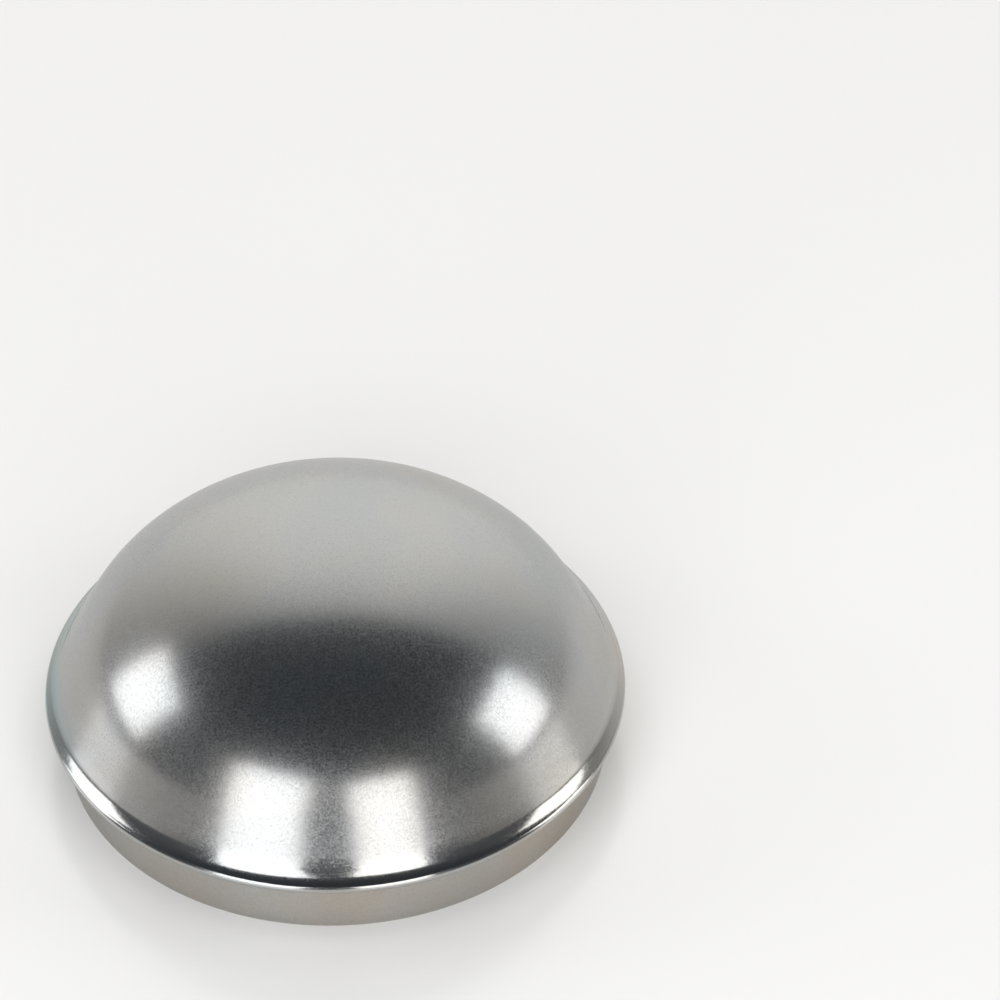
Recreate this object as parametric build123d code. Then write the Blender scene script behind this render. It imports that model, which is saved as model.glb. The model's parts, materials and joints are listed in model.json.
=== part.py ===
# Hub grease cap: a deep-drawn steel cup with a folded bead, driven by its skirt into a wheel hub's bore.
# Millimetres and degrees. The origin is the centre of the rim's plane, and +Z runs up the axis to the crown.
import os
from math import acos, asin, atan, atan2, cos, degrees, radians, sin, sqrt, tan

from build123d import *

# Sheet
sheet = 0.9

# Press skirt, from the rim up to the bead's seat
skirt_diameter = 76.0
seat_height = 8.7
rim_round = 0.2  # both edges of the trimmed rim

# Bead, where the sheet is folded flat on itself to stop on the hub's face
bead_width = 2.7  # from the skirt's outer face out to the bead's widest ring
seat_fillet = 0.35  # hollow corner between the skirt and the seat
lower_round = 0.7  # edge between the seat and the widest ring
upper_round = 0.85  # edge between the widest ring and the flare
step_round = 0.4  # inner edge where the skirt turns out into the bead

# Dome: a hollow flare up from the bead, a straight flank, half an ellipse as wide as the skirt, and a crown
flare_radius = 4.5
flank_lean = 26.0  # how far the flank leans in from the vertical
dome_foot = 0.4  # height of the ellipse's widest ring above the seat
dome_rise = 27.0  # from that ring up to the crown
crown_radius = 4.0  # middle of the dome that is part of a sphere, so that it closes on the axis

skirt_radius = skirt_diameter / 2
bead_radius = skirt_radius + bead_width
bead_level = seat_height + lower_round
fold_level = seat_height + sheet
upper_centre = Vector(bead_radius - upper_round, bead_level)
dome_centre = Vector(0, seat_height + dome_foot)
flank_out = Vector(cos(radians(flank_lean)), sin(radians(flank_lean)))
flank_down = Vector(flank_out.Y, -flank_out.X)


def dome_point(angle, depth):
    """Point on the dome's ellipse at one of the ellipse's own angles."""
    return dome_centre + Vector((skirt_radius - depth) * cos(angle), (dome_rise - depth) * sin(angle))


def dome_normal(angle, depth):
    """Angle from the horizontal of the outward direction at that point."""
    return atan2(sin(angle) / (dome_rise - depth), cos(angle) / (skirt_radius - depth))


def flank_angle(depth):
    """Angle of the ellipse where the flank leaves it."""
    return atan(tan(radians(flank_lean)) * (dome_rise - depth) / (skirt_radius - depth))


def flare_centre(depth):
    """Centre of the arc that touches the flank and, on the other side, the bead's upper round."""
    start = dome_point(flank_angle(depth), depth) + flank_out * (flare_radius + depth)
    offset = start - upper_centre
    along = offset.dot(flank_down)
    run = -along - sqrt(along**2 - offset.length**2 + (flare_radius + upper_round) ** 2)
    return start + flank_down * run


def dome_lines(depth, centre, lean):
    """One face of the sheet from the flare's lower end, where it has this lean, up to the axis."""
    flare = CenterArc(centre, flare_radius + depth, 180 + lean, flank_lean - lean)
    foot = flank_angle(depth)
    top = acos(crown_radius / (skirt_radius - depth))
    dome = EllipticalCenterArc(
        dome_centre,
        skirt_radius - depth,
        dome_rise - depth,
        start_angle=degrees(foot),
        arc_size=degrees(top - foot),
    )
    flank = Line(flare @ 1, dome @ 0)
    slope = dome_normal(top, depth)
    ball_centre = dome_point(top, depth) - Vector(crown_radius, crown_radius * tan(slope))
    crown = CenterArc(ball_centre, crown_radius / cos(slope), degrees(slope), 90 - degrees(slope))
    return [flare, flank, dome, crown]


def outer_face():
    """Outside of the cap from the rim to the axis."""
    corner = CenterArc((skirt_radius + seat_fillet, seat_height - seat_fillet), seat_fillet, 180, -90)
    skirt = Line((skirt_radius, 0), corner @ 0)
    lower = CenterArc((bead_radius - lower_round, bead_level), lower_round, -90, 90)
    seat = Line(corner @ 1, lower @ 0)
    centre = flare_centre(0)
    lean = degrees(atan2(centre.Y - upper_centre.Y, centre.X - upper_centre.X))
    upper = CenterArc(upper_centre, upper_round, 0, lean)
    return [skirt, corner, seat, lower, upper, *dome_lines(0, centre, lean)]


def inner_face():
    """Inside of the cap from the rim to the axis; the fold is pressed shut where the flare meets its lower layer."""
    wall = skirt_radius - sheet
    step = CenterArc((wall + step_round, fold_level - step_round), step_round, 180, -90)
    skirt = Line((wall, 0), step @ 0)
    centre = flare_centre(sheet)
    lean = degrees(asin((centre.Y - fold_level) / (flare_radius + sheet)))
    dome = dome_lines(sheet, centre, lean)
    fold = Line(step @ 1, dome[0] @ 0)
    return [skirt, step, fold, *dome]


def cap_section():
    """Half of the cap cut through its axis: the two faces of the sheet, closed at the rim and on the axis."""
    outside = outer_face()
    inside = inner_face()
    rim = Line(inside[0] @ 0, outside[0] @ 0)
    axis = Line(outside[-1] @ 1, inside[-1] @ 1)
    section = make_face([*outside, axis, *inside, rim])
    return fillet(section.vertices().group_by(Axis.Y)[0], rim_round)


os.makedirs("parts", exist_ok=True)
grease_cap = revolve(Plane.XZ * cap_section(), Axis.Z)
grease_cap.label = "grease_cap"
export_step(grease_cap, "parts/grease_cap.step")
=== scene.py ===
"""Hub grease cap, dressed: one fine turned surface with its zinc finish, in a small photo studio.

All lengths are metres in the cap's own frame: the origin is the middle of the rim's plane, +Z is the axis.
"""

import json

import bpy
import numpy as np
from bpy.props import FloatProperty, FloatVectorProperty, IntProperty, PointerProperty
from mathutils import Matrix, Vector


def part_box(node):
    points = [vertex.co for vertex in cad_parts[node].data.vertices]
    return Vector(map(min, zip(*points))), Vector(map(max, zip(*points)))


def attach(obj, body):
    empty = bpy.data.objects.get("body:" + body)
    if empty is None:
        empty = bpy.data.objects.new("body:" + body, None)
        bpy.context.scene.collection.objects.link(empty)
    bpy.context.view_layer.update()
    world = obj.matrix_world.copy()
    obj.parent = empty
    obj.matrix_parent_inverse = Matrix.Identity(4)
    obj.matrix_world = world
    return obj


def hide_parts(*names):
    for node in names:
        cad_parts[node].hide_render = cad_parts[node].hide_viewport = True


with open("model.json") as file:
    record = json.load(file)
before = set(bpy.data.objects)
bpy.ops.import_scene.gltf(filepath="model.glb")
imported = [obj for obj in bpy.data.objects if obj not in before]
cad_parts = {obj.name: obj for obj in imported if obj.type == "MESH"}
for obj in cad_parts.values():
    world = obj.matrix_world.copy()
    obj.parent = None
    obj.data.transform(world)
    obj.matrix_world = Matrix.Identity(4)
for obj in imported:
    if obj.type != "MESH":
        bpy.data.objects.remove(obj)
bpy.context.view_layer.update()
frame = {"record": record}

bl_info = {
    "name": "Hub grease cap",
    "version": (1, 0, 0),
    "blender": (4, 5, 0),
    "location": "View3D > Sidebar > Grease cap",
    "description": "Presses a zinc-plated hub grease cap and sets it in a small photo studio",
    "category": "Add Mesh",
}

CAP_NODE = "grease_cap"
CAP_BODY = "root"
MM = 0.001
RIGHT_ANGLE = np.pi / 2
FULL_TURN = 2 * np.pi

# Steps along the lines of the cap's section: the most where it is curved and mirrors the lamps
SKIRT_STEPS = 6
CORNER_STEPS = 8
FLAT_STEPS = 3
LOWER_ROUND_STEPS = 10
UPPER_ROUND_STEPS = 12
FLARE_STEPS = 24
FLANK_STEPS = 6
DOME_STEPS = 59
CROWN_STEPS = 6
RIM_ROUND_STEPS = 5
RIM_STEPS = 2

# Heights above the seat between which two looks fade out: the skirt's, and that of the bead and the flare
SEAT_FADE = (-0.2 * MM, 0.3 * MM)
FLANK_FADE = (3.2 * MM, 4.8 * MM)

# Values of the noise at which a tint starts and is full, and its share when it is full
WARM_RANGE = (0.48, 0.70)
COOL_RANGE = (0.52, 0.30)
TINT_SHARE = 0.8
# The same for the mottle of the skirt's painted warm reflection, which has a share at both ends
MOTTLE_RANGE = (0.35, 0.65)
MOTTLE_SHARES = (0.6, 1.0)
# Share of the bloom's reach within which it is full
BLOOM_CORE = 0.4

# Values of the noise from the smoothest crystals to the roughest, and what the clusters' own noise adds
CRYSTAL_RANGE = (0.47, 0.72)
CLUSTER_RANGE = (0.3, 0.7)
CLUSTER_PUSH = (-0.08, 0.08)

# The floor lies this far below the rim, so that the two don't share a plane
FLOOR_GAP = 0.02 * MM
FLOOR_RINGS = 12
FLOOR_STEPS = 96
ROOM_STEPS_AROUND = 240
ROOM_STEPS_UP = 120

# Where the backdrop fades: in slope times depth less height on a room of radius 1, and in degrees aside
BACKDROP_EDGE = (-0.02, 0.10)
BACKDROP_SIDES = (12, 88)
# Degrees above the floor where the backdrop has lost half, and where the walls' foot and the band fade
BACKDROP_HALF = 70
LOW_WALLS_FADE = (8, 58)
LOW_BAND_FADE = (3.5, 5.5)

# Camera: width of the picture behind the lens in millimetres, and the nearest and farthest that it sees
PICTURE_WIDTH = 36
SIGHT = (0.01, 10)

# Upper corner of the solid cap's box; the bead takes the smaller of its two half-widths, to stay inside it
cap_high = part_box(CAP_NODE)[1]
press_skirt = next(mount for mount in frame["record"]["mounts"] if mount["name"] == "press_skirt")


def length(name, description, default):
    """Setting that is a length in metres."""
    return FloatProperty(
        name=name,
        description=description,
        default=default,
        min=0,
        precision=5,
        subtype="DISTANCE",
        unit="LENGTH",
    )


def place(name, description, default):
    """Setting that is a point in the cap's frame, in metres."""
    return FloatVectorProperty(
        name=name, description=description, default=default, precision=5, subtype="XYZ", unit="LENGTH"
    )


def share(name, description, default):
    """Setting that is a share from none to all."""
    return FloatProperty(name=name, description=description, default=default, min=0, max=1, subtype="FACTOR")


def number(name, description, default):
    """Setting that is a plain number from 0 up; for a brightness, 1 is a white surface in full light."""
    return FloatProperty(name=name, description=description, default=default, min=0)


def angle(name, description, degrees):
    """Setting that is an angle, given here in degrees."""
    return FloatProperty(
        name=name, description=description, default=np.radians(degrees), subtype="ANGLE", unit="ROTATION"
    )


def colour(name, description, default):
    """Setting that is a colour, in linear light."""
    return FloatVectorProperty(
        name=name, description=description, default=default, min=0, soft_max=1, subtype="COLOR"
    )


class CapSizes(bpy.types.PropertyGroup):
    """Sizes of the pressed cap."""

    skirt_radius: length("Skirt radius", "Outer radius of the press skirt", press_skirt["dims"]["r_mm"] * MM)
    bead_radius: length("Bead radius", "Outer radius of the folded bead", min(cap_high.x, cap_high.y))
    dome_height: length("Dome height", "From the rim up to the top of the dome's ellipse", 36.1 * MM)
    sheet: length("Sheet", "Thickness of the steel sheet", 0.9 * MM)
    rim_round: length("Rim round", "Both edges of the trimmed rim", 0.2 * MM)
    seat_height: length("Seat height", "From the rim up to the bead's seat", 8.7 * MM)
    seat_fillet: length("Seat fillet", "Hollow corner between the skirt and the seat", 0.35 * MM)
    lower_round: length("Lower round", "Edge between the bead's seat and its widest ring", 0.7 * MM)
    upper_round: length("Upper round", "Edge between the bead's widest ring and the flare", 0.85 * MM)
    step_round: length("Step round", "Inner edge where the skirt turns out into the bead", 0.4 * MM)
    flare_radius: length("Flare radius", "Hollow flare between the bead and the dome's flank", 4.5 * MM)
    flank_lean: angle("Flank lean", "How far the dome's straight flank leans in from the vertical", 26.0)
    dome_foot: length("Dome foot", "Height of the dome's widest ring above the seat", 0.4 * MM)
    crown_radius: length("Crown radius", "Middle of the dome that is part of a sphere", 4.0 * MM)
    steps_around: IntProperty(
        name="Steps around", description="Faces in each ring of the turned surface", default=360, min=24
    )


class ZincFinish(bpy.types.PropertyGroup):
    """Look of the zinc plating."""

    plate: colour("Plate", "Bright zinc on the outside", (0.49, 0.488, 0.483))
    inside: colour("Inside", "Duller zinc on the inside", (0.64, 0.64, 0.605))
    cut_edge: colour("Cut edge", "Trimmed edge of the rim", (0.68, 0.68, 0.66))
    edge_tint: colour("Edge tint", "What the plating keeps of its shine at a glancing angle", (0.8, 0.8, 0.8))
    warm_tint: colour("Warm tint", "Straw-coloured passivation", (1.0, 0.96, 0.89))
    cool_tint: colour("Cool tint", "Blue passivation", (0.93, 0.98, 1.0))
    tint_size: length("Tint size", "Width of the areas of warm and cool tint", 22 * MM)
    # Painted reflection: this warm tint stands in for the warm floor mirrored in the outer skirt, not for the
    # plating's own colour
    skirt_painted_reflection: colour("Skirt tint", "Painted warm reflection of the floor round the skirt", (1.0, 0.93, 0.86))
    mottle_size: length("Mottle size", "Width of the lighter and darker areas of the skirt's tint", 6 * MM)
    bloom_tint: colour("Bloom tint", "Blue-green bloom on one side of the bead", (0.84, 0.97, 1.0))
    bloom_place: place("Bloom place", "Middle of the blue-green bloom", (-39 * MM, 6 * MM, 10.5 * MM))
    bloom_reach: length("Bloom reach", "Distance at which the bloom has faded out", 26 * MM)
    smooth_crystal: share("Smooth crystals", "Blur of what the smoothest crystals reflect", 0.20)
    rough_crystal: share("Rough crystals", "Blur of what the roughest crystals reflect", 0.44)
    inside_roughness: share("Inside roughness", "Added blur of what the inside reflects", 0.03)
    crystal_size: length("Crystal size", "Width of one crystal of the plating", 0.075 * MM)
    cluster_size: length("Cluster size", "Width of the clusters of rough crystals", 0.36 * MM)
    burnish: share("Burnish", "Share of the blur that the press took off the bead and the flare", 0.42)
    crystal_tilt: share("Crystal tilt", "How far the crystals' faces tilt out of the surface", 0.005)
    rolling_size: length("Rolling lines", "Distance between the sheet's rolling lines", 0.5 * MM)
    rolling_stretch: share("Rolling stretch", "Width of a rolling line as a share of its length", 0.02)
    rolling_depth: length("Rolling depth", "Depth of the rolling lines", 0.03 * MM)


class StudioSettings(bpy.types.PropertyGroup):
    """Floor, room, lamps and camera."""

    floor: colour("Floor", "Pale floor", (0.90, 0.895, 0.885))
    floor_roughness: share("Floor roughness", "Blur of what the floor reflects", 0.22)
    floor_index: number("Floor index", "Refractive index of the floor's gloss", 2.1)
    room: colour("Room", "Dark room around and above", (0.042, 0.048, 0.056))
    room_radius: length("Room radius", "Distance of the room's walls", 3.0)
    low_walls: number("Low walls", "What the foot of the walls adds to the room", 0.06)
    low_band: number("Low band", "Brightness of the band along the floor's edge", 0.25)
    backdrop: colour("Backdrop", "Pale sheet behind the cap, where it is brightest", (1.11, 1.095, 1.06))
    backdrop_turn: angle("Backdrop turn", "Angle round the axis at which the backdrop is brightest", 176)
    backdrop_slope: number("Backdrop slope", "Height over depth along the backdrop's upper edge", 3.05)
    softbox_level: number("Softbox level", "Brightness of the four softboxes", 2.4)
    softbox_distance: length("Softbox distance", "Distance of each softbox from the cap", 0.9)
    top_lamp_power: FloatProperty(
        name="Top lamp",
        description="Power of the lamp that lights the floor",
        default=23.5,
        min=0,
        unit="POWER",
    )
    top_lamp_height: angle("Top lamp height", "Angle of the top lamp above the floor", 62)
    top_lamp_distance: length("Top lamp distance", "Distance of the top lamp from the cap", 1.6)
    top_lamp_width: length("Top lamp width", "Side of the square top lamp", 2.2)
    view_distance: length("View distance", "From the camera to the point that it looks at", 1.1653)
    view_height: angle("View height", "Angle of the camera above the floor", 42.21)
    view_turn: angle("View turn", "Angle of the camera round the axis", 0.685)
    view_roll: angle("View roll", "Tilt of the camera about its own line of sight", -1.02)
    view_aim: place("View aim", "Point on the floor that the camera looks at", (23.00 * MM, 48.99 * MM, 0.0))
    lens: number("Lens", "Focal length in millimetres", 288.0)


class CapSection:
    """Half of the cap cut through its axis, as points (radius, height)."""

    def __init__(self, sizes):
        self.sizes = sizes
        self.bead_level = sizes.seat_height + sizes.lower_round
        self.fold_level = sizes.seat_height + sizes.sheet
        self.upper_centre = np.array((sizes.bead_radius - sizes.upper_round, self.bead_level))
        self.dome_level = sizes.seat_height + sizes.dome_foot
        self.dome_rise = sizes.dome_height - self.dome_level
        self.flank_out = np.array((np.cos(sizes.flank_lean), np.sin(sizes.flank_lean)))
        self.flank_down = np.array((np.sin(sizes.flank_lean), -np.cos(sizes.flank_lean)))

    def dome_point(self, turn, depth):
        """Ellipse: half-width times the cosine and rise times the sine of the turn, both less the depth."""
        across = (self.sizes.skirt_radius - depth) * np.cos(turn)
        return np.stack((across, self.dome_level + (self.dome_rise - depth) * np.sin(turn)), axis=-1)

    def dome_normal(self, turn, depth):
        """Direction out of the ellipse: its tangent is sine over rise, divided by cosine over half-width."""
        half_width = self.sizes.skirt_radius - depth
        return np.arctan2(np.sin(turn) / (self.dome_rise - depth), np.cos(turn) / half_width)

    def flank_turn(self, depth):
        """Turn of the ellipse where the flank leaves it: there the ellipse leans as the flank does."""
        half_width = self.sizes.skirt_radius - depth
        return np.arctan(np.tan(self.sizes.flank_lean) * (self.dome_rise - depth) / half_width)

    def flare_centre(self, depth):
        """Centre of the arc that touches flank and bead: it slides down beside the flank until it is both
        radii away from the centre of the bead's upper round."""
        foot = self.dome_point(self.flank_turn(depth), depth)
        start = foot + (self.sizes.flare_radius + depth) * self.flank_out
        offset = start - self.upper_centre
        along = offset @ self.flank_down
        reach = self.sizes.flare_radius + self.sizes.upper_round
        return start - (along + np.sqrt(along**2 - offset @ offset + reach**2)) * self.flank_down

    def dome_lines(self, depth, centre, lean):
        """One face of the sheet from the flare's lower end, where it has this lean, up to the axis."""
        sizes = self.sizes
        flare = arc(centre, sizes.flare_radius + depth, np.pi + lean, sizes.flank_lean - lean, FLARE_STEPS)
        top = np.arccos(sizes.crown_radius / (sizes.skirt_radius - depth))
        dome = self.dome_point(np.linspace(self.flank_turn(depth), top, DOME_STEPS + 1), depth)
        slope = self.dome_normal(top, depth)
        ball = dome[-1] - sizes.crown_radius * np.array((1, np.tan(slope)))
        crown = arc(ball, sizes.crown_radius / np.cos(slope), slope, RIGHT_ANGLE - slope, CROWN_STEPS)
        return joined(flare, straight(flare[-1], dome[0], FLANK_STEPS), dome, crown)

    def outside(self):
        """Outer face: skirt, hollow corner, seat, the bead's two rounds, and the dome's lines."""
        sizes = self.sizes
        corner_centre = (sizes.skirt_radius + sizes.seat_fillet, sizes.seat_height - sizes.seat_fillet)
        corner = arc(corner_centre, sizes.seat_fillet, np.pi, -RIGHT_ANGLE, CORNER_STEPS)
        skirt = straight((sizes.skirt_radius, sizes.rim_round), corner[0], SKIRT_STEPS)
        lower_centre = (sizes.bead_radius - sizes.lower_round, self.bead_level)
        lower = arc(lower_centre, sizes.lower_round, -RIGHT_ANGLE, RIGHT_ANGLE, LOWER_ROUND_STEPS)
        seat = straight(corner[-1], lower[0], FLAT_STEPS)
        centre = self.flare_centre(0)
        lean = np.arctan2(*(centre - self.upper_centre)[::-1])
        upper = arc(self.upper_centre, sizes.upper_round, 0, lean, UPPER_ROUND_STEPS)
        return joined(skirt, corner, seat, lower, upper, self.dome_lines(0, centre, lean))

    def inside(self):
        """Inner face: skirt, step, the fold's lower layer out to where the flare lies on it, and the dome."""
        sizes = self.sizes
        wall = sizes.skirt_radius - sizes.sheet
        step_centre = (wall + sizes.step_round, self.fold_level - sizes.step_round)
        step = arc(step_centre, sizes.step_round, np.pi, -RIGHT_ANGLE, CORNER_STEPS)
        skirt = straight((wall, sizes.rim_round), step[0], SKIRT_STEPS)
        centre = self.flare_centre(sizes.sheet)
        lean = np.arcsin((centre[1] - self.fold_level) / (sizes.flare_radius + sizes.sheet))
        dome = self.dome_lines(sizes.sheet, centre, lean)
        return joined(skirt, step, straight(step[-1], dome[0], FLAT_STEPS), dome)

    def outline(self):
        """Outside from the crown down, across the trimmed rim, and inside back up; both ends are on the axis.
        Two more values for each point say how far it is inside, and whether it is on the cut edge."""
        sizes = self.sizes
        outside = self.outside()[::-1]
        inside = self.inside()
        edge = sizes.rim_round
        outer_round = arc((sizes.skirt_radius - edge, edge), edge, 0, -RIGHT_ANGLE, RIM_ROUND_STEPS)
        inner_round = arc((inside[0, 0] + edge, edge), edge, -RIGHT_ANGLE, -RIGHT_ANGLE, RIM_ROUND_STEPS)
        rim = joined(outer_round, straight(outer_round[-1], inner_round[0], RIM_STEPS), inner_round)[1:-1]
        points = np.concatenate((outside, rim, inside))
        points[[0, -1], 0] = 0
        counts = len(outside), len(rim), len(inside)
        return points, np.repeat((0.0, 0.5, 1.0), counts), np.repeat((0.0, 1.0, 0.0), counts)


def straight(start, end, steps):
    """Straight line: points spread evenly from start to end."""
    return np.linspace(start, end, steps + 1)


def arc(centre, radius, start, turn, steps):
    """Circular arc: centre plus radius times the cosine and sine of angles that run from start by turn."""
    angles = np.linspace(start, start + turn, steps + 1)
    return centre + radius * np.stack((np.cos(angles), np.sin(angles)), axis=-1)


def joined(*curves):
    """Curves end to end, with each shared point kept once."""
    return np.concatenate([curves[0], *(curve[1:] for curve in curves[1:])])


def rings_of(radius, height, angles):
    """Grid of points: each radius times the cosine and the sine of each angle, at the radius's own height."""
    across = np.outer(radius, np.cos(angles))
    deep = np.outer(radius, np.sin(angles))
    up = np.repeat(height[:, None], len(angles), axis=1)
    return np.stack((across, deep, up), axis=-1)


def turned(points, steps):
    """Surface of revolution of points (radius, height) about the axis, in this many steps. The first and last
    points lie on the axis, so each is one vertex with a fan of triangles."""
    rings = rings_of(*points[1:-1].T, np.linspace(0, FULL_TURN, steps, endpoint=False))
    poles = np.array(((0, 0, points[0, 1]), (0, 0, points[-1, 1])))
    vertices = np.concatenate((poles[:1], rings.reshape(-1, 3), poles[1:]))
    here = 1 + np.arange(len(rings) * steps).reshape(-1, steps)
    beside = np.roll(here, -1, axis=1)
    quads = np.stack((here[:-1], here[1:], beside[1:], beside[:-1]), axis=-1).reshape(-1, 4)
    first_fan = np.stack((np.zeros(steps, int), here[0], beside[0]), axis=-1)
    last_fan = np.stack((here[-1], np.full(steps, len(vertices) - 1), beside[-1]), axis=-1)
    return vertices, [*first_fan.tolist(), *quads.tolist(), *last_fan.tolist()]


def sheet_of(grid):
    """Vertices and faces of a grid of points."""
    index = np.arange(grid.shape[0] * grid.shape[1]).reshape(grid.shape[:2])
    faces = np.stack((index[:-1, :-1], index[1:, :-1], index[1:, 1:], index[:-1, 1:]), axis=-1)
    return grid.reshape(-1, 3), faces.reshape(-1, 4).tolist()


def over_rings(values, steps):
    """One value for each outline point, repeated for every vertex that the point is turned into."""
    return np.concatenate((values[:1], np.repeat(values[1:-1], steps, axis=0), values[-1:]))


def mesh_object(name, vertices, faces):
    """New smooth object at the origin with these vertices and faces."""
    mesh = bpy.data.meshes.new(name)
    mesh.from_pydata(vertices, [], faces)
    if mesh.validate():
        raise ValueError(f"The faces of {name} don't make a sound mesh")
    mesh.polygons.foreach_set("use_smooth", np.full(len(mesh.polygons), True))
    made = bpy.data.objects.new(name, mesh)
    bpy.context.scene.collection.objects.link(made)
    return made


def add_attribute(made, name, kind, field, values):
    """Value for each vertex, which a material can read by name."""
    attribute = made.data.attributes.new(name, kind, "POINT")
    attribute.data.foreach_set(field, np.asarray(values, np.float32).ravel())


class NodeBoard:
    """A new material and its nodes, with short calls to add and join them."""

    def __init__(self, name):
        self.material = bpy.data.materials.new(name)
        self.material.use_nodes = True
        self.tree = self.material.node_tree
        self.tree.nodes.clear()

    def add(self, kind, inputs=None, **settings):
        """New node; each input is a value for its socket, or another node's output that is joined to it."""
        node = self.tree.nodes.new(kind)
        for name, value in settings.items():
            setattr(node, name, value)
        for name, value in (inputs or {}).items():
            if isinstance(value, bpy.types.NodeSocket):
                self.tree.links.new(value, node.inputs[name])
            else:
                node.inputs[name].default_value = value
        return node

    def read(self, name, field="Fac"):
        """Attribute of the mesh."""
        return self.add("ShaderNodeAttribute", attribute_name=name).outputs[field]

    def noise(self, coordinates, size, detail):
        """Noise from 0 to 1 whose lumps are about this size, with this many finer layers laid over them."""
        inputs = {"Vector": coordinates, "Scale": 1 / size, "Detail": detail}
        return self.add("ShaderNodeTexNoise", inputs, noise_dimensions="3D").outputs["Fac"]

    def tilted(self, normal, coordinates, size, tilt):
        """Normal with a random tilt in each cell of about this size, as on the faces of small crystals."""
        cells = self.add("ShaderNodeTexVoronoi", {"Vector": coordinates, "Scale": 1 / size}).outputs["Color"]
        spread = {0: cells, 1: (2 * tilt,) * 3, 2: (-tilt,) * 3}
        lean = self.add("ShaderNodeVectorMath", spread, operation="MULTIPLY_ADD").outputs["Vector"]
        sum_of = {0: normal, 1: lean}
        leaning = self.add("ShaderNodeVectorMath", sum_of, operation="ADD").outputs["Vector"]
        return self.add("ShaderNodeVectorMath", {0: leaning}, operation="NORMALIZE").outputs["Vector"]

    def maths(self, operation, first, second):
        """Arithmetic on two numbers."""
        return self.add("ShaderNodeMath", {0: first, 1: second}, operation=operation).outputs[0]

    def ramp(self, value, low, high, low_result, high_result):
        """Value between low and high, carried in proportion to the two results."""
        inputs = {
            "Value": value,
            "From Min": low,
            "From Max": high,
            "To Min": low_result,
            "To Max": high_result,
        }
        return self.add("ShaderNodeMapRange", inputs).outputs["Result"]

    def mix(self, share_of_second, first, second, blend="MIX"):
        """Mix of two colours."""
        # A mix node keeps its share in socket 0 and, for colours, its two sides in sockets 6 and 7
        inputs = {0: share_of_second, 6: first, 7: second}
        return self.add("ShaderNodeMix", inputs, data_type="RGBA", blend_type=blend).outputs[2]

    def finish(self, shader):
        """Joins the shader to the material's surface and gives the material."""
        self.add("ShaderNodeOutputMaterial", {"Surface": shader})
        return self.material


def opaque(rgb):
    """Colour with a full alpha, as sockets want it."""
    return (*rgb, 1.0)


def cap_zones(board, coordinates, sizes):
    """Whether a point is inside, below the bead's seat, and below the dome's flank, each from 0 to 1."""
    height = board.add("ShaderNodeSeparateXYZ", {"Vector": coordinates}).outputs["Z"]
    above_seat = board.maths("SUBTRACT", height, sizes.seat_height)
    below_seat = board.ramp(above_seat, *SEAT_FADE, 1.0, 0.0)
    below_flank = board.ramp(above_seat, *FLANK_FADE, 1.0, 0.0)
    return board.read("inside"), below_seat, below_flank


def zinc_colour(board, coordinates, finish, inside, below_seat, below_flank):
    """Colour of the plating: outside, inside and cut edge, with the tints that the passivation leaves, and a
    painted warm reflection of the floor on the outer skirt.
    """
    shade = board.mix(inside, opaque(finish.plate), opaque(finish.inside))
    shade = board.mix(board.read("cut_edge"), shade, opaque(finish.cut_edge))

    tint_noise = board.noise(coordinates, finish.tint_size, detail=2.0)
    warm = board.ramp(tint_noise, *WARM_RANGE, 0.0, TINT_SHARE)
    cool = board.ramp(tint_noise, *COOL_RANGE, 0.0, TINT_SHARE)
    shade = board.mix(warm, shade, opaque(finish.warm_tint), "MULTIPLY")
    shade = board.mix(cool, shade, opaque(finish.cool_tint), "MULTIPLY")

    # Painted reflection: the outer skirt below the seat is tinted warm in mottled patches, standing in for
    # the floor mirrored in it
    mottle_noise = board.noise(coordinates, finish.mottle_size, detail=3.0)
    mottle = board.ramp(mottle_noise, *MOTTLE_RANGE, *MOTTLE_SHARES)
    outside = board.maths("SUBTRACT", 1.0, inside)
    skirt = board.maths("MULTIPLY", outside, board.maths("MULTIPLY", below_seat, mottle))
    shade = board.mix(skirt, shade, opaque(finish.skirt_painted_reflection), "MULTIPLY")

    from_bloom = {0: coordinates, 1: finish.bloom_place}
    distance = board.add("ShaderNodeVectorMath", from_bloom, operation="DISTANCE").outputs["Value"]
    near = board.ramp(distance, BLOOM_CORE * finish.bloom_reach, finish.bloom_reach, 1.0, 0.0)
    bloom = board.maths("MULTIPLY", near, below_flank)
    return board.mix(bloom, shade, opaque(finish.bloom_tint), "MULTIPLY")


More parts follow.
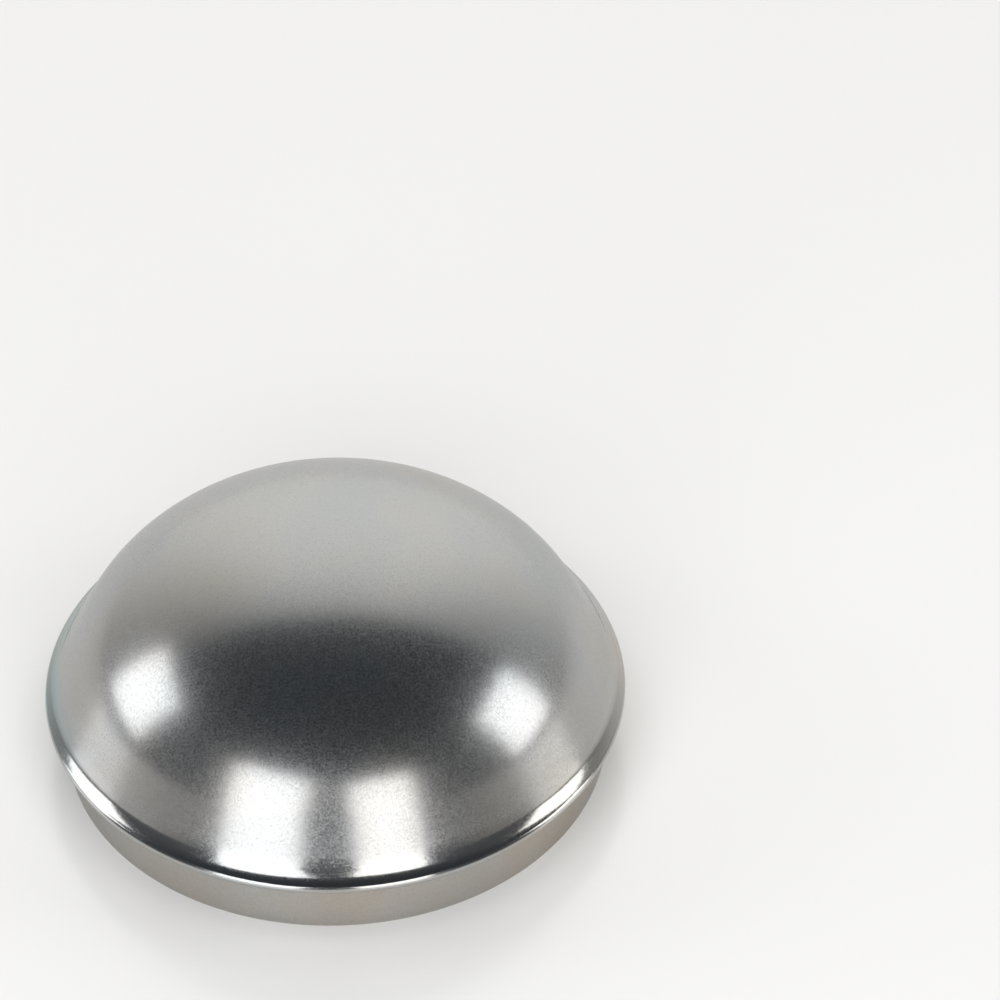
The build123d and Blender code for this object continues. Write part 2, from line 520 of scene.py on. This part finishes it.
def zinc_material(finish, sizes):
    """Zinc plating: smooth and rough crystals too small to tell apart, the rough ones in clusters. The press
    has smoothed them on the bead and the flare. The inside is duller, and its skirt still shows the sheet's
    rolling lines, which ran one way across the flat blank."""
    board = NodeBoard("zinc_plated_steel")
    coordinates = board.add("ShaderNodeTexCoord").outputs["Object"]
    inside, below_seat, below_flank = cap_zones(board, coordinates, sizes)

    cluster_noise = board.noise(coordinates, finish.cluster_size, detail=2.0)
    clusters = board.ramp(cluster_noise, *CLUSTER_RANGE, *CLUSTER_PUSH)
    crystals = board.maths("ADD", board.noise(coordinates, finish.crystal_size, detail=1.0), clusters)
    roughness = board.ramp(crystals, *CRYSTAL_RANGE, finish.smooth_crystal, finish.rough_crystal)
    pressed = board.maths("SUBTRACT", below_flank, below_seat)
    kept_blur = board.ramp(pressed, 0.0, 1.0, 1.0, 1.0 - finish.burnish)
    roughness = board.maths("MULTIPLY", roughness, kept_blur)
    dullness = board.maths("MULTIPLY", inside, finish.inside_roughness)

    lines = {"Vector": board.read("blank", "Vector"), "Scale": (finish.rolling_stretch, 1.0, 1.0)}
    along_lines = board.add("ShaderNodeMapping", lines).outputs["Vector"]
    inner_skirt = board.maths("MULTIPLY", inside, below_seat)
    rolling_noise = board.noise(along_lines, finish.rolling_size, detail=3.0)
    rolling = board.maths("MULTIPLY", rolling_noise, inner_skirt)
    bump = {"Strength": 1.0, "Distance": finish.rolling_depth, "Height": rolling}
    normal = board.add("ShaderNodeBump", bump).outputs["Normal"]
    for size in (finish.crystal_size, finish.cluster_size):
        normal = board.tilted(normal, coordinates, size, finish.crystal_tilt)

    metal = {
        "Base Color": zinc_colour(board, coordinates, finish, inside, below_seat, below_flank),
        "Specular Tint": opaque(finish.edge_tint),
        "Metallic": 1.0,
        "Roughness": board.maths("ADD", roughness, dullness),
        "Normal": normal,
    }
    return board.finish(board.add("ShaderNodeBsdfPrincipled", metal).outputs["BSDF"])


def floor_material(studio):
    """Pale floor with a strong, blurred gloss."""
    board = NodeBoard("pale_floor")
    sheet = {
        "Base Color": opaque(studio.floor),
        "Roughness": studio.floor_roughness,
        "IOR": studio.floor_index,
    }
    return board.finish(board.add("ShaderNodeBsdfPrincipled", sheet).outputs["BSDF"])


def room_material():
    """Walls that glow as brightly as they are painted."""
    board = NodeBoard("studio_room")
    emission = {"Color": board.read("glow", "Color"), "Strength": 1.0}
    material = board.finish(board.add("ShaderNodeEmission", emission).outputs["Emission"])
    # Rays find so large a surface without being aimed at it
    material.cycles.emission_sampling = "NONE"
    return material


def eased(value, low, high):
    """Smooth step: 0 up to low, 1 from high on, and three t squared less two t cubed between them."""
    t = np.clip((value - low) / (high - low), 0, 1)
    return t * t * (3 - 2 * t)


def direction(turn, height):
    """Unit vector at a turn round the axis, which is 0 in front and grows to the right, and an angle above
    the floor: sine and minus cosine of the turn, times the cosine of the angle, and the angle's sine."""
    flat = np.cos(height)
    return np.stack((np.sin(turn) * flat, -np.cos(turn) * flat, np.sin(height)), axis=-1)


class GREASE_CAP_OT_press(bpy.types.Operator):
    """Turns the cap's section into one closed surface and gives it its zinc finish"""

    bl_idname = "grease_cap.press"
    bl_label = "Press the cap"

    def execute(self, context):
        sizes = context.scene.cap_sizes
        steps = sizes.steps_around
        points, inside, cut_edge = CapSection(sizes).outline()
        if not np.isfinite(points).all():
            raise ValueError("The cap's sizes don't give a closed section")
        vertices, faces = turned(points, steps)
        cap = mesh_object("pressed_cap", vertices, faces)
        add_attribute(cap, "blank", "FLOAT_VECTOR", "vector", self.blank(points, vertices, steps))
        add_attribute(cap, "inside", "FLOAT", "value", over_rings(inside, steps))
        add_attribute(cap, "cut_edge", "FLOAT", "value", over_rings(cut_edge, steps))
        cap.data.materials.append(zinc_material(context.scene.zinc_finish, sizes))
        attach(cap, CAP_BODY)
        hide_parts(CAP_NODE)
        return {"FINISHED"}

    def blank(self, points, vertices, steps):
        """Where each vertex lay on the flat blank: as far from the middle as it is along the outline from the
        crown, and in its own direction from the axis."""
        run = np.concatenate(([0], np.cumsum(np.linalg.norm(np.diff(points, axis=0), axis=1))))
        radius = over_rings(np.minimum(run, run[-1] - run), steps)
        bearing = np.arctan2(vertices[:, 1], vertices[:, 0])
        return np.stack((radius * np.cos(bearing), radius * np.sin(bearing), np.zeros_like(radius)), axis=-1)


class GREASE_CAP_OT_stage(bpy.types.Operator):
    """Lays the floor, puts up the room, the backdrop and the lamps, and sets the camera"""

    bl_idname = "grease_cap.stage"
    bl_label = "Set the stage"

    # Where each softbox starts and ends round the axis, and its lower and upper edge, in degrees
    softboxes = {
        "left_softbox": (-109.5, -85.5, 6.3, 36.5),
        "right_softbox": (75.5, 99.5, 4.8, 36),
        "front_left_softbox": (-42, -12, 1, 36),
        "front_right_softbox": (7.5, 32, 1, 33.5),
    }

    def execute(self, context):
        studio = context.scene.studio_settings
        self.lay_floor(studio)
        self.put_up_room(studio)
        for name, edges in self.softboxes.items():
            self.hang_softbox(studio, name, *np.radians(edges))
        self.hang_top_lamp(studio)
        self.set_camera(context.scene, studio)
        context.scene.view_settings.view_transform = "Standard"
        return {"FINISHED"}

    def lay_floor(self, studio):
        """Disc under the cap: rings of growing radius about the axis, a hair below the rim."""
        radius = np.linspace(0, studio.room_radius, FLOOR_RINGS)
        height = np.full(FLOOR_RINGS, -FLOOR_GAP)
        grid = rings_of(radius, height, np.linspace(0, FULL_TURN, FLOOR_STEPS + 1))
        floor = mesh_object("floor", *sheet_of(grid))
        floor.data.materials.append(floor_material(studio))

    def put_up_room(self, studio):
        """Half sphere round the cap: room radius times the direction of every turn and angle above the floor.
        It is dark but for the backdrop, the paler foot of the walls, and a band along the floor's edge. The
        backdrop has a straight upper edge, fades sideways, and loses light with the angle's fourth power."""
        turns = np.linspace(0, FULL_TURN, ROOM_STEPS_AROUND + 1)
        heights = np.linspace(0, RIGHT_ANGLE, ROOM_STEPS_UP + 1)
        turn, height = np.meshgrid(turns, heights, indexing="ij")
        way = direction(turn, height)
        degrees_up = np.degrees(height)
        aside = np.degrees(np.abs((turn - studio.backdrop_turn + np.pi) % FULL_TURN - np.pi))
        below_edge = eased(studio.backdrop_slope * way[..., 1] - way[..., 2], *BACKDROP_EDGE)
        sideways = 1 - eased(aside, *BACKDROP_SIDES)
        upwards = np.clip(1 - 0.5 * (degrees_up / BACKDROP_HALF) ** 4, 0, 1)
        sheet = (below_edge * sideways * upwards)[..., None]
        low_walls = studio.low_walls * (1 - eased(degrees_up, *LOW_WALLS_FADE))[..., None]
        low_band = studio.low_band * (1 - eased(degrees_up, *LOW_BAND_FADE))[..., None]
        room, backdrop = np.array(studio.room), np.array(studio.backdrop)
        glow = np.maximum(room + low_walls * (1 - sheet) + sheet * (backdrop - room), low_band)

        walls = mesh_object("studio_room", *sheet_of(studio.room_radius * way))
        painted = np.concatenate((glow, np.ones(turn.shape + (1,))), axis=-1)
        add_attribute(walls, "glow", "FLOAT_COLOR", "color", painted)
        walls.data.materials.append(room_material())

    def hang_lamp(self, name, width, height, power, middle):
        """Flat rectangular lamp that faces the cap and that the camera doesn't see."""
        lamp = bpy.data.lights.new(name, "AREA")
        lamp.shape = "RECTANGLE"
        lamp.size, lamp.size_y, lamp.energy = width, height, power
        made = bpy.data.objects.new(name, lamp)
        facing = middle.to_track_quat("Z", "Y").to_matrix()
        made.matrix_world = Matrix.Translation(middle) @ facing.to_4x4()
        made.visible_camera = False
        bpy.context.scene.collection.objects.link(made)
        return made

    def hang_softbox(self, studio, name, first, last, low, high):
        """Softbox that covers these angles from the cap. Its power is brightness times pi times area."""
        width = 2 * studio.softbox_distance * np.tan((last - first) / 2)
        height = 2 * studio.softbox_distance * np.tan((high - low) / 2)
        middle = studio.softbox_distance * direction((first + last) / 2, (low + high) / 2)
        power = studio.softbox_level * np.pi * width * height
        self.hang_lamp(name, width, height, power, Vector(middle))

    def hang_top_lamp(self, studio):
        """Large lamp high up in front that lights the floor; nothing mirrors it."""
        middle = Vector(studio.top_lamp_distance * direction(0, studio.top_lamp_height))
        width = studio.top_lamp_width
        lamp = self.hang_lamp("top_lamp", width, width, studio.top_lamp_power, middle)
        lamp.visible_glossy = False

    def set_camera(self, scene, studio):
        """Camera at the view's distance from its aim, rolled about its line of sight."""
        lens = bpy.data.cameras.new("camera")
        lens.lens, lens.sensor_width = studio.lens, PICTURE_WIDTH
        lens.clip_start, lens.clip_end = SIGHT
        back = Vector(direction(studio.view_turn, studio.view_height))
        facing = back.to_track_quat("Z", "Y").to_matrix() @ Matrix.Rotation(studio.view_roll, 3, "Z")
        middle = Vector(studio.view_aim) + studio.view_distance * back
        camera = bpy.data.objects.new("camera", lens)
        camera.matrix_world = Matrix.Translation(middle) @ facing.to_4x4()
        scene.collection.objects.link(camera)
        scene.camera = camera


class GREASE_CAP_PT_panel(bpy.types.Panel):
    """Settings and steps of the grease cap"""

    bl_idname = "GREASE_CAP_PT_panel"
    bl_label = "Grease cap"
    bl_space_type = "VIEW_3D"
    bl_region_type = "UI"
    bl_category = "Grease cap"

    def draw(self, context):
        scene = context.scene
        for settings in (scene.cap_sizes, scene.zinc_finish, scene.studio_settings):
            box = self.layout.box()
            for name in settings.__annotations__:
                box.prop(settings, name)
        self.layout.operator(GREASE_CAP_OT_press.bl_idname)
        self.layout.operator(GREASE_CAP_OT_stage.bl_idname)


CLASSES = (
    CapSizes,
    ZincFinish,
    StudioSettings,
    GREASE_CAP_OT_press,
    GREASE_CAP_OT_stage,
    GREASE_CAP_PT_panel,
)


def register():
    """Adds the settings, operators and panel."""
    for each in CLASSES:
        bpy.utils.register_class(each)
    bpy.types.Scene.cap_sizes = PointerProperty(type=CapSizes)
    bpy.types.Scene.zinc_finish = PointerProperty(type=ZincFinish)
    bpy.types.Scene.studio_settings = PointerProperty(type=StudioSettings)


def unregister():
    """Takes them away again, in reverse."""
    del bpy.types.Scene.studio_settings
    del bpy.types.Scene.zinc_finish
    del bpy.types.Scene.cap_sizes
    for each in reversed(CLASSES):
        bpy.utils.unregister_class(each)


def main():
    """Builds the cap and its stage."""
    register()
    bpy.ops.grease_cap.press()
    bpy.ops.grease_cap.stage()


if __name__ == "__main__":
    main()
